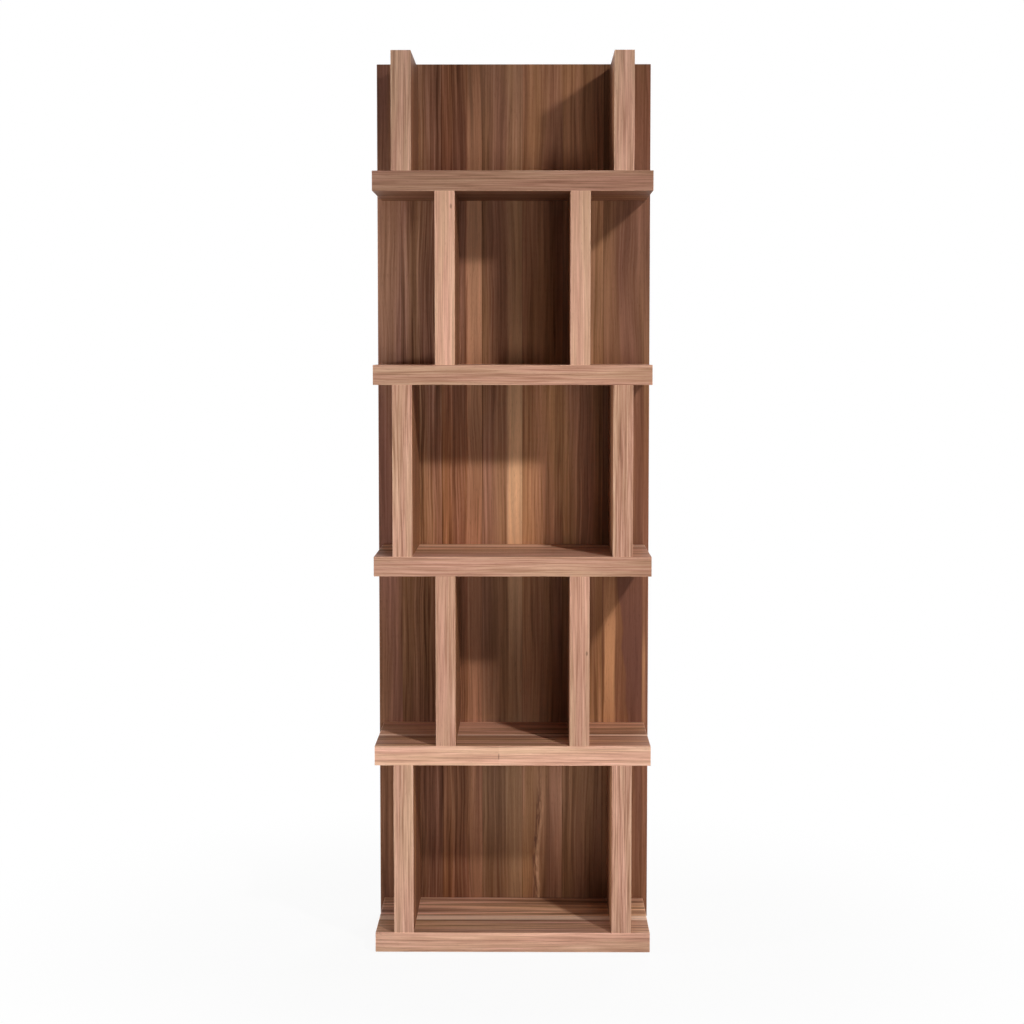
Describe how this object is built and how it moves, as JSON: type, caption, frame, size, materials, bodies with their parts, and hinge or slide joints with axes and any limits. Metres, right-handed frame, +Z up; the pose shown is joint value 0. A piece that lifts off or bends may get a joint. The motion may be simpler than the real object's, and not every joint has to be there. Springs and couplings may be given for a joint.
{
  "type": "zigzag bookshelf",
  "caption": "Tall open bookshelf of thick walnut-veneered shelves on uprights that stand wide and narrow by turns, screwed to a full-height back panel.",
  "frame": {"origin": "on the floor, under the middle of the whole shelf's width and depth", "axes": "+Z up, front towards -Y, +X to the right seen from the front"},
  "size_m": [0.636, 0.33, 2.013],
  "materials": {
    "panel_veneer": "walnut veneer in vertical leaves, matt lacquer",
    "shelf_veneer": "walnut veneer with the grain along the shelf, matt lacquer",
    "upright_veneer": "walnut veneer with upright grain, matt lacquer",
    "edge_lipping": "solid pale walnut, matt lacquer",
    "beech": "plain beech",
    "zinc_steel": "zinc-plated steel",
    "nylon": "dark nylon"
  },
  "bodies": {
    "root": {"back_panel": "panel_veneer", "shelf_1": "shelf_veneer", "shelf_1_lipping": "edge_lipping", "upright_1_left": "upright_veneer", "upright_1_left_lipping": "edge_lipping", "upright_1_right": "upright_veneer", "upright_1_right_lipping": "edge_lipping", "shelf_1_dowels": "beech", "shelf_2": "shelf_veneer", "shelf_2_lipping": "edge_lipping", "upright_2_left": "upright_veneer", "upright_2_left_lipping": "edge_lipping", "upright_2_right": "upright_veneer", "upright_2_right_lipping": "edge_lipping", "shelf_2_dowels": "beech", "shelf_3": "shelf_veneer", "shelf_3_lipping": "edge_lipping", "upright_3_left": "upright_veneer", "upright_3_left_lipping": "edge_lipping", "upright_3_right": "upright_veneer", "upright_3_right_lipping": "edge_lipping", "shelf_3_dowels": "beech", "shelf_4": "shelf_veneer", "shelf_4_lipping": "edge_lipping", "upright_4_left": "upright_veneer", "upright_4_left_lipping": "edge_lipping", "upright_4_right": "upright_veneer", "upright_4_right_lipping": "edge_lipping", "shelf_4_dowels": "beech", "shelf_5": "shelf_veneer", "shelf_5_lipping": "edge_lipping", "upright_5_left": "upright_veneer", "upright_5_left_lipping": "edge_lipping", "upright_5_right": "upright_veneer", "upright_5_right_lipping": "edge_lipping", "shelf_5_dowels": "beech", "back_panel_screws": "zinc_steel", "hanger_plate_left": "zinc_steel", "hanger_plate_right": "zinc_steel", "hanger_screws": "zinc_steel", "floor_glides": "nylon"}
  },
  "joints": []
}
